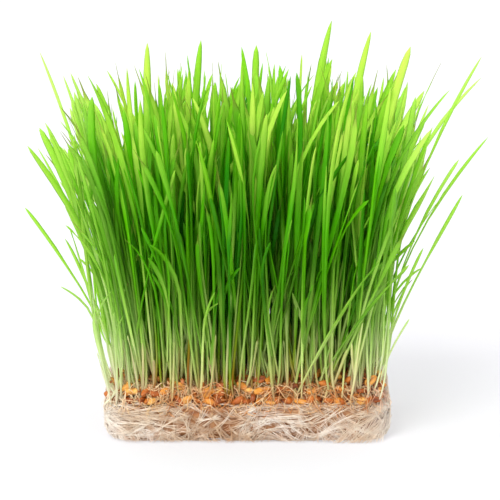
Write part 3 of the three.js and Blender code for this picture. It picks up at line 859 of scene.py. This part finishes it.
CROWN = 26.5 * MM  # above this level a CAD tuft is nothing but shoots
STEM_RADIUS = 0.59 * MM
BLADE_HALF_DEPTH = 0.22 * MM
LEAF_SIDES = 6
FILLERS = 23  # shoots between the CAD's own, in each tuft
RIM_FILLERS = 5  # more of them at the rim, in the tufts at the block's two ends
COLUMNS = 7  # tufts in each row
CLEARANCE = 1.9 * MM  # least distance between two shoots' feet
RIM_CLEARANCE = 1.6 * MM  # the same for the extra ones at the rim
SAME_PLACE = 0.02 * MM  # points of the CAD's meshes that are nearer than this are one

# Places of a leaf's stations along its length, closer together where it bends and where it tapers.
STATIONS = np.array([
    0, 0.02, 0.045, 0.085, 0.14, 0.21, 0.3, 0.41, 0.53, 0.65, 0.76, 0.85, 0.91, 0.95, 0.98, 1.0
])

leaf_skin, tree, skin = new_material("leaf")
height = own_value(tree, "height")
veins = use_effect(tree, "lines", {"Lines Across": 5.0, "Stretch": 14.0, "Contrast": 1.8})
blotch = use_effect(tree, "mottling", {"Blotches Per Metre": 90.0, "Contrast": 1.2})
mood = calculate(tree, "MULTIPLY_ADD", blotch, 0.35, own_value(tree, "tone"))
mood = calculate(tree, "MULTIPLY_ADD", veins, 0.34, calculate(tree, "SUBTRACT", mood, 0.34))
# Painted shade: the very middle of the stand gets the least light, so its leaves are coloured a deeper green.
outer = use_effect(tree, "ends", {"Begins": 0.004, "Width": 0.03, "Spread": 0.06})
mood = calculate(tree, "MULTIPLY_ADD", outer, 0.26, calculate(tree, "SUBTRACT", mood, 0.22))
mood = add_node(tree, "ShaderNodeClamp", {"Value": mood}).outputs[0]
# These ramps go by height above the mat, from 0 to 180 mm: blanched, turning green, shaded, sunlit.
deep = ramp(
    tree, height, (0.0, 150, 60, 8), (0.035, 172, 98, 22), (0.08, 158, 168, 26), (0.15, 116, 170, 10),
    (0.23, 74, 144, 2), (0.36, 32, 108, 0), (0.6, 42, 150, 0), (0.9, 158, 228, 44),
)
bright = ramp(
    tree, height, (0.0, 248, 218, 150), (0.04, 255, 249, 192), (0.15, 242, 255, 168),
    (0.23, 200, 240, 102), (0.36, 112, 196, 8), (0.6, 120, 222, 0), (0.9, 238, 255, 116),
)
sunlit = ramp(
    tree, height, (0.0, 255, 255, 238), (0.17, 238, 251, 190), (0.32, 200, 242, 104),
    (0.6, 200, 245, 92), (1.0, 228, 255, 144),
)
# At the two ends light comes in from the side and pales the leaves. As they fan out with height, so
# does the place where it begins.
lit = use_effect(tree, "ends", {"Begins": 0.042, "Width": 0.022, "Spread": 0.17})
colour = mixed(tree, mood, deep, bright)
colour = mixed(tree, calculate(tree, "MULTIPLY", lit, 0.9), colour, sunlit)
colour = mixed(tree, own_value(tree, "dry"), colour, shade(150, 140, 66))
tree.links.new(colour, skin.inputs["Base Color"])
skin.inputs["Roughness"].default_value = 0.42
skin.inputs["Specular IOR Level"].default_value = 0.25
raised = roughen(tree, skin, veins, 0.35, 0.3 * MM)
# Light that has come through a leaf is yellow-green; the blanched feet let it through as it is.
green_share = calculate(tree, "MINIMUM", calculate(tree, "MULTIPLY", height, 2.2), 0.6)
green_share = calculate(tree, "MULTIPLY", green_share, calculate(tree, "MULTIPLY_ADD", lit, -0.6, 1.0))
glow = mixed(tree, green_share, colour, shade(184, 240, 16))
let_light_through(tree, skin, glow, raised, 0.5)


def shoot_lines(node):
    """The lines of the shoots in one CAD node, each a polynomial x(z), y(z) with its lowest and highest z,
    read from the stretches of its mesh above the crown."""
    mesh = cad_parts[node].data
    co = np.array([v.co for v in mesh.vertices])
    keys, index = np.unique(np.round(co / SAME_PLACE).astype(int), axis=0, return_inverse=True)
    index = index.ravel()
    place = np.zeros((len(keys), 3))
    place[index] = co
    edges = index[np.array([e.vertices[:] for e in mesh.edges])]
    edges = edges[edges[:, 0] != edges[:, 1]]
    above = place[:, 2] > CROWN
    both_above = edges[above[edges].all(1)]
    # The points of one shoot take on the least of their numbers, in more passes than it has rings.
    group = np.arange(len(place))
    for _ in range(60):
        least = np.minimum(group[both_above[:, 0]], group[both_above[:, 1]])
        np.minimum.at(group, both_above[:, 0], least)
        np.minimum.at(group, both_above[:, 1], least)
    lines = []
    crossing = edges[above[edges].sum(1) == 1]
    for number in np.unique(group[above]):
        members = np.flatnonzero(above & (group == number))
        if len(members) < 4:
            continue
        feet = np.unique(crossing[np.isin(crossing, members).any(1)])
        feet = feet[~above[feet]]
        # Each ring of a CAD shoot has three points, and its tip is one.
        order = members[np.argsort(place[members, 2])]
        rings = [place[order[k : k + 3]].mean(0) for k in range(0, len(order) - 1, 3)]
        knots = np.array([place[feet].mean(0), *rings, place[order[-1]]])
        degree = min(3 if len(knots) > 5 else 2, len(knots) - 1)
        # The tip counts most, so that the line ends where the CAD's shoot does.
        weight = np.ones(len(knots))
        weight[-1] = 3.0
        fit = [np.polyfit(knots[:, 2], knots[:, k], degree, w=weight) for k in (0, 1)]
        lines.append((fit, knots[0, 2], knots[-1, 2]))
    return lines


def line_points(line, foot):
    """Points along one CAD shoot, from this foot level to its tip."""
    fit, _, tip = line
    level = foot + (tip - foot) * STATIONS
    return np.stack([np.polyval(fit[0], level), np.polyval(fit[1], level), level], -1)


def lengths_along(spines):
    """How far each station of these lines is from the line's foot."""
    steps = np.linalg.norm(np.diff(spines, axis=1), axis=2)
    return np.concatenate([np.zeros((len(spines), 1)), np.cumsum(steps, axis=1)], 1)


def eased(share):
    """The same from 0 to 1, but starting and stopping gently."""
    return share * share * (3 - 2 * share)


def make_shoots(name, spines, widths, sheaths, tones, greening, replaces, second, facing):
    """A piece of shoots along these lines. widths are the leaves' full widths, sheaths the heights where
    the stems open into leaves, greening the heights at which they have turned fully green. second marks
    the leaves that have no stem of their own. The facing ones are edgeways to the front at their feet
    and turn broadside to it further up."""
    count = len(spines)
    gone = lengths_along(spines)
    share = gone / gone[:, -1:]
    twist = rng.normal(0, 0.5, (count, 1)) * share
    twist = twist + rng.normal(0, 4.5, (count, 1)) * np.maximum(share - 0.5, 0) ** 1.5
    turned = rng.uniform(0, math.pi, (count, 1)) + twist
    turned_to_front = 0.15 * twist + 1.45 * (1 - eased(rising(share, 0.52, 0.78)))
    turned = np.where(facing[:, None], turned_to_front, turned)
    wanted = np.stack([np.cos(turned), np.sin(turned), np.zeros_like(turned)], -1)
    across, outward = frames_along(spines, wanted)
    opened = rising(gone, sheaths[:, None], sheaths[:, None] + 66 * MM)
    opened = eased(np.where(second[:, None], np.clip(gone / (28 * MM), 0.25, 1), opened))
    taper = rising(share, rng.uniform(0.76, 0.945, (count, 1)), 1)
    narrowing = np.maximum(1 - taper**2.1, 0) ** 0.6 * 0.95 + 0.05
    stem = STEM_RADIUS * rng.uniform(0.8, 1.15, (count, 1)) * (0.8 + 0.2 * rising(gone, 0, 14 * MM))
    stem = np.where(second[:, None], 0.45 * MM, stem)
    folding, offset = rng.uniform(0.3, 0.75, (count, 1)), rng.uniform(0, 50, (count, 1))
    # Some tips have withered: they are dry, and thin as threads.
    withered = ((rng.random((count, 1)) < 0.3) & ~facing[:, None]) * rising(share, 0.91, 0.95)
    narrowing = narrowing * (1 - 0.72 * withered)
    half_width = (stem + (widths[:, None] / 2 - stem) * opened) * narrowing
    half_depth = (stem + (BLADE_HALF_DEPTH - stem) * opened) * (0.4 + 0.6 * narrowing)
    fold = folding * opened * half_width
    angles = np.arange(LEAF_SIDES) * 2 * math.pi / LEAF_SIDES
    place_across = half_width[..., None] * np.cos(angles)
    place_out = half_depth[..., None] * np.sin(angles) + fold[..., None] * (np.abs(np.cos(angles)) - 0.5)
    sections = np.stack([place_across, place_out], -1)
    points, faces = loft(spines, across, outward, sections)
    # Colours go by height above the mat as if every shoot turned green at 66 mm.
    climbed = (spines[..., 2] - mat_top) * (66 * MM / greening[:, None])
    # Painted shade: the feet of all but the foremost shoots stand in deep shade, so they get a lower tone and
    # are coloured browner.
    set_back = spines[:, :1, 1] > 15 * MM - mat_half[1]
    shaded = set_back * (1 - rising(climbed, 0, 40 * MM))
    values = {
        "tone": tones[:, None] - 0.3 * shaded,
        "along": gone * 10 + offset,
        "across": np.cos(angles)[None, None],
        "height": climbed / (180 * MM),
        "dry": withered * 0.7,
    }
    values = {key: per_point(value, sections) for key, value in values.items()}
    make_piece(name, points, faces, leaf_skin, "shoots", replaces, **values)


def grown(spines, hook, sway, nod):
    """Lets straight lines grow like shoots: bent at the foot, swaying a little and nodding at the tip.
    Half of them come out from under their neighbours with a longer bend at the foot."""
    count = len(spines)
    gone = lengths_along(spines)
    share = gone / gone[:, -1:]
    turn = rng.uniform(0, 2 * math.pi, (3, count, 1))
    foot_push, sway_push, tip_push = (np.stack([np.cos(t), np.sin(t), np.zeros_like(t)], -1) for t in turn)
    foot_push = foot_push * (1.25, 0.6, 0)
    far = rng.random((count, 1)) < 0.5
    bend = np.where(far, rng.uniform(1.2, 2.8, (count, 1)), rng.uniform(0.1, 0.8, (count, 1))) * hook
    # Each bends whichever way keeps its foot on the mat.
    sides = [spines[:, 0, :2] + way * bend * foot_push[:, 0, :2] for way in (1, -1)]
    outside = [np.maximum(np.abs(side) - (mat_half[:2] - 4 * MM), 0).sum(1) for side in sides]
    foot_push = foot_push * np.where(outside[0] > outside[1], -1, 1)[:, None, None]
    foot = bend * np.exp(-gone / np.where(far, rng.uniform(4, 9, (count, 1)) * MM, 5 * MM))
    foot = foot[..., None] * foot_push
    waves = np.sin(share * rng.uniform(3, 8, (count, 1)) + turn[0]) - np.sin(turn[0])
    swaying = waves[..., None] * sway_push * rng.uniform(0.2, 1, (count, 1, 1)) * sway * share[..., None]
    drop = rng.uniform(0, nod, (count, 1)) * rising(share, 0.6, 1) ** 2
    nodding = drop[..., None] * (tip_push + np.array([0.15, 0, 0]))
    whip = rising(share, 0.72, 1)
    whip = np.sin(whip * rng.uniform(2, 5, (count, 1))) * whip * rng.normal(0, 0.18, (count, 1)) * nod
    nodding = nodding + whip[..., None] * np.roll(tip_push, 1, axis=2) * (1, 1, 0)
    moved = spines + foot + swaying + nodding
    moved[..., 2] -= np.abs(drop) * 0.3
    return moved


def kept_inside(spines):
    """Draws in any shoot that would reach past the stand's own outline."""
    margin = np.array([0.6, 2.3, 0.6]) * MM  # for the leaves' own breadth, which lies mostly in Y
    low, high = np.array(cad_box[0]) + margin, np.array(cad_box[1]) - margin
    foot = spines[:, :1]
    reach = spines - foot
    room = np.where(reach > 0, high - foot, low - foot)
    with np.errstate(divide="ignore", invalid="ignore"):
        share = np.where(np.abs(reach) > 0, room / reach, np.inf)
    share = np.clip(share.min((1, 2)), 0, 1)
    return foot + reach * share[:, None, None]


def second_leaves(spines, starts, ends, parting):
    """Leaves beside these: each leaves the stem between the shares of its length in starts, stops between
    those in ends, and parts from it by some millimetres."""
    count = len(spines)
    start = rng.uniform(*starts, (count, 1))
    leaf_share = start + (rng.uniform(*ends, (count, 1)) - start) * STATIONS[None]
    gone = lengths_along(spines)
    share = gone / gone[:, -1:]
    leaf = np.stack(
        [[np.interp(s, own, line[:, k]) for k in range(3)] for s, own, line in zip(leaf_share, share, spines)]
    ).transpose(0, 2, 1)
    away = rng.uniform(0, 2 * math.pi, (count, 1))
    apart = rng.uniform(*parting, (count, 1)) * MM * STATIONS**1.4
    return leaf + np.stack([np.cos(away) * apart, np.sin(away) * apart, np.zeros_like(apart)], -1)


tuft_nodes = [f"tuft_{row}_{column}" for row in ROWS for column in range(1, COLUMNS + 1)]
lines_of = {node: shoot_lines(node) for node in tuft_nodes}
tuft_size = bed_reach * 2 / (COLUMNS, len(ROWS))
foot_level = mat_top + 2.2 * MM
guides = np.array([line_points(line, foot_level) for lines in lines_of.values() for line in lines])
guide_height = guides[:, -1, 2] - foot_level
guide_shape = (guides - guides[:, :1]) / guide_height[:, None, None]


def like_neighbours(places, heights):
    """Lines from these places that lean and bend as the CAD's shoots round them do, the nearest most."""
    gap = np.linalg.norm(places[:, None, :2] - guides[None, :, 0, :2], axis=2)
    weight = 1 / (gap**2 + (3.5 * MM) ** 2) ** 2
    weight = weight / weight.sum(1, keepdims=True)
    shape = np.einsum("pg,gsk->psk", weight, guide_shape)
    return places[:, None] + shape * heights[:, None, None]


def places_between(own_places, corner_low, at_side):
    """Where a tuft's fillers stand on its part of the bed, clear of its own shoots and of each other."""
    places = []
    for _ in range(600):
        spot = corner_low + rng.uniform(0.02, 0.98, 2) * tuft_size
        on_rim = len(places) >= FILLERS
        if on_rim:
            spot[0] = math.copysign(mat_half[0] - rng.uniform(2.5, 7) * MM, spot[0])
        corner = np.maximum(np.abs(spot) - (grain_reach - 11 * MM), 0)
        nearest = np.linalg.norm(np.array([*own_places, *places]) - spot, axis=1).min()
        if np.hypot(*corner) < 10.5 * MM and nearest > (RIM_CLEARANCE if on_rim else CLEARANCE):
            places.append(spot)
        if len(places) == FILLERS + (RIM_FILLERS if at_side else 0):
            break
    return np.array(places)


def filler_lines(places):
    """The lines of a tuft's fillers, before they are grown. They follow their neighbours, apart from
    leaning astray by some degrees, and towards the block's two ends they get shorter and gather in."""
    count = len(places)
    x = places[:, 0]
    short = rng.random(count) < 0.25
    heights = np.where(short, rng.uniform(70, 125, count), rng.uniform(122, 168, count)) * MM
    heights = heights * (1 - 0.1 * rising(np.abs(x), 48 * MM, 68 * MM))
    heights = heights * (1 - 0.07 * rising(-x, 44 * MM, 54 * MM))
    heights = heights * (1 - 0.06 * rising(x, 46 * MM, 56 * MM))
    lines = like_neighbours(places, heights)
    wild = np.where(rng.random((count, 1, 1)) < 0.42, 0.19, 0.08)
    astray = rng.normal(0, 1, (count, 1, 2)) * wild
    at_end = rising(np.abs(x), 44 * MM, 64 * MM)[:, None]
    inward = -np.sign(x)[:, None] * (np.abs(astray[..., 0]) * 0.7 - 0.01)
    astray[..., 0] = astray[..., 0] * (1 - at_end) + inward * at_end
    gathered = np.where(x > 0, 0.5, 0.15)[:, None] * at_end
    lines[:, :, 0] -= (lines[:, :, 0] - x[:, None]) * gathered
    climb = lines[:, :, 2] - foot_level
    lines[:, :, :2] += astray * climb[..., None]
    # The ones at the rim belly out above the foot and come back in higher up.
    belly = np.where(np.arange(count) < FILLERS, 0, rng.uniform(5, 11, count)) * MM
    belly = belly * np.where(x > 0, 1, -1.7)
    lines[:, :, 0] += belly[:, None] * (1 - np.exp(-climb / (22 * MM)) - climb / (110 * MM))
    return lines


# The shoots have a seed of their own, so that a change to the bed leaves the stand as it is.
rng = np.random.default_rng(29)
for node, lines in lines_of.items():
    row_name, column_name = node.removeprefix("tuft_").rsplit("_", 1)
    row, column = ROWS.index(row_name), int(column_name) - 1
    own_shoots = np.array([line_points(line, foot_level) for line in lines])
    corner_low = np.array([column, row]) * tuft_size - bed_reach
    places = places_between(own_shoots[:, 0, :2], corner_low, at_side=column in (0, COLUMNS - 1))
    # In the front row every third filler comes from the very edge, from between the rim's grains.
    in_front = (np.arange(len(places)) % 3 == 0) & (row == 0)
    edge_y = 1.6 * MM - mat_half[1] + 0.1 * (places[:, 1] + mat_half[1])
    places[:, 1] = np.where(in_front, edge_y, places[:, 1])
    level = foot_level - np.where(in_front, 2.2 * MM, 0)
    fillers = filler_lines(np.concatenate([places, level[:, None]], 1))
    own_shoots = grown(own_shoots, hook=3 * MM, sway=0.8 * MM, nod=6 * MM)
    stems = np.concatenate([own_shoots, grown(fillers, hook=4 * MM, sway=1.6 * MM, nod=17 * MM)])
    # Half the shoots have a second leaf, and a third a short sheath leaf at the foot.
    with_second = stems[rng.random(len(stems)) < 0.5]
    seconds = second_leaves(with_second, starts=(0.14, 0.24), ends=(0.6, 0.97), parting=(3, 12))
    with_sheath = stems[rng.random(len(stems)) < 0.33]
    sheath_leaves = second_leaves(with_sheath, starts=(0.01, 0.03), ends=(0.18, 0.36), parting=(1.2, 3.4))
    spines = kept_inside(np.concatenate([stems, seconds, sheath_leaves]))
    count = len(spines)
    is_second = np.arange(count) >= len(stems)
    is_sheath = np.arange(count) >= len(stems) + len(seconds)
    tallest = spines[:, -1, 2] > 0.93 * cad_box[1][2]
    widths = np.where(is_second, rng.uniform(1.6, 2.8, count), rng.uniform(2.2, 4.1, count)) * MM
    widths = np.where(tallest, rng.uniform(3.4, 4.4, count) * MM, widths)
    widths = np.where(is_sheath, rng.uniform(1.3, 1.9, count) * MM, widths)
    widths = widths * (1 - 0.2 * rising(np.abs(spines[:, 0, 0]), 48 * MM, 68 * MM))
    # Painted light and shade: the front row, in the most light, is coloured pale to a greater height; the
    # shaded rows behind it turn green lower down.
    late_greening = rng.random(count) < 0.2
    greening = np.where(late_greening, rng.uniform(80, 112, count), rng.uniform(50, 80, count))
    greening = greening * (1.0, 0.62, 0.48, 0.62)[row]
    greening = np.where(is_sheath & (row == 0), rng.uniform(95, 170, count), greening) * MM
    sheaths = rng.uniform(28, 66, count) * MM
    # Painted shade: the rows behind the front one get darker tones.
    tones = np.clip(rng.normal(0.56 if row == 0 else 0.48, 0.27, count), 0, 1)
    make_shoots(
        node.replace("tuft", "shoots"), spines, widths, sheaths, tones, greening, [node], is_second, tallest
    )

# ---- The leaning shoots ------------------------------------------------------------------------
# At both ends and along the front some seedlings lean far out of the stand on their own, each from a
# grain of its own at the edge of the bed. They are narrow, and broadside to the front at the tip.

for node in sorted(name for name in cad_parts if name.startswith("stray")):
    line = shoot_lines(node)[0]
    lowest = line[1]
    spines = line_points(line, lowest - 1 * MM)[None]
    spines = kept_inside(grown(spines, hook=1.5 * MM, sway=0.5 * MM, nod=1 * MM))
    widths, sheaths = rng.uniform(1.6, 2.2, 1) * MM, rng.uniform(18, 36, 1) * MM
    tones, greening = rng.uniform(0.35, 0.8, 1), rng.uniform(50, 75, 1) * MM
    make_shoots(
        node.replace("stray", "leaning_shoot"), spines, widths, sheaths, tones, greening, [node],
        second=np.array([False]), facing=np.array([True]),
    )
    grain_place = line_points(line, lowest)[:1] - (0, 0, 1.2 * MM)
    heading, pitch, roll = rng.uniform(0, 6, 1), rng.normal(0, 0.2, 1), rng.uniform(0, 6, 1)
    make_grains(
        node.replace("stray", "grain_of"), grain_place, heading, pitch, roll, np.array([1.0]),
        rng.uniform(0.5, 0.9, 1),
    )

# ---- The floor, the light and the camera -------------------------------------------------------
# The block stands on white paper over a faintly glowing table, which runs on behind it, in soft light
# from the front left.

FLOOR_REACH = 12.0  # metres each way, so that its edge is out of sight
PAPER_LEVEL = -0.1 * MM

floor_mesh = bpy.data.meshes.new("paper_floor")
floor_corners = ((-1, -1), (1, -1), (1, 1), (-1, 1))
floor_mesh.from_pydata(
    [(x * FLOOR_REACH, y * FLOOR_REACH, PAPER_LEVEL) for x, y in floor_corners], [], [(0, 1, 2, 3)]
)
floor = bpy.data.objects.new("paper_floor", floor_mesh)
bpy.context.scene.collection.objects.link(floor)
paper, tree, skin = new_material("paper")
skin.inputs["Base Color"].default_value = shade(170, 169, 172)
skin.inputs["Roughness"].default_value = 0.9
skin.inputs["Emission Color"].default_value = (0.99, 0.99, 1, 1)
skin.inputs["Emission Strength"].default_value = 0.45
floor_mesh.materials.append(paper)

world = bpy.data.worlds.new("studio")
bpy.context.scene.world = world
world.use_nodes = True
sky = world.node_tree.nodes["Background"]
sky.inputs["Color"].default_value = (0.98, 0.98, 1, 1)
sky.inputs["Strength"].default_value = 1.07

# A wide, soft sun stands in for a big window.
lamp = bpy.data.lights.new("window", "SUN")
lamp.energy = 2.42
lamp.angle = math.radians(34)
window = bpy.data.objects.new("window", lamp)
bpy.context.scene.collection.objects.link(window)
window.rotation_euler = Vector((0.5, 0.85, -0.85)).to_track_quat("-Z", "Y").to_euler()
bpy.context.scene.view_settings.view_transform = "Standard"

lens = bpy.data.cameras.new("camera")
lens.lens = 135.5
camera = bpy.data.objects.new("camera", lens)
bpy.context.scene.collection.objects.link(camera)
looked_at = Vector((0.0014, 0, 0.0877))
looking_down = math.radians(10)
camera.location = looked_at + 0.95 * Vector((0, -math.cos(looking_down), math.sin(looking_down)))
camera.rotation_euler = (looked_at - camera.location).to_track_quat("-Z", "Y").to_euler()
bpy.context.scene.camera = camera
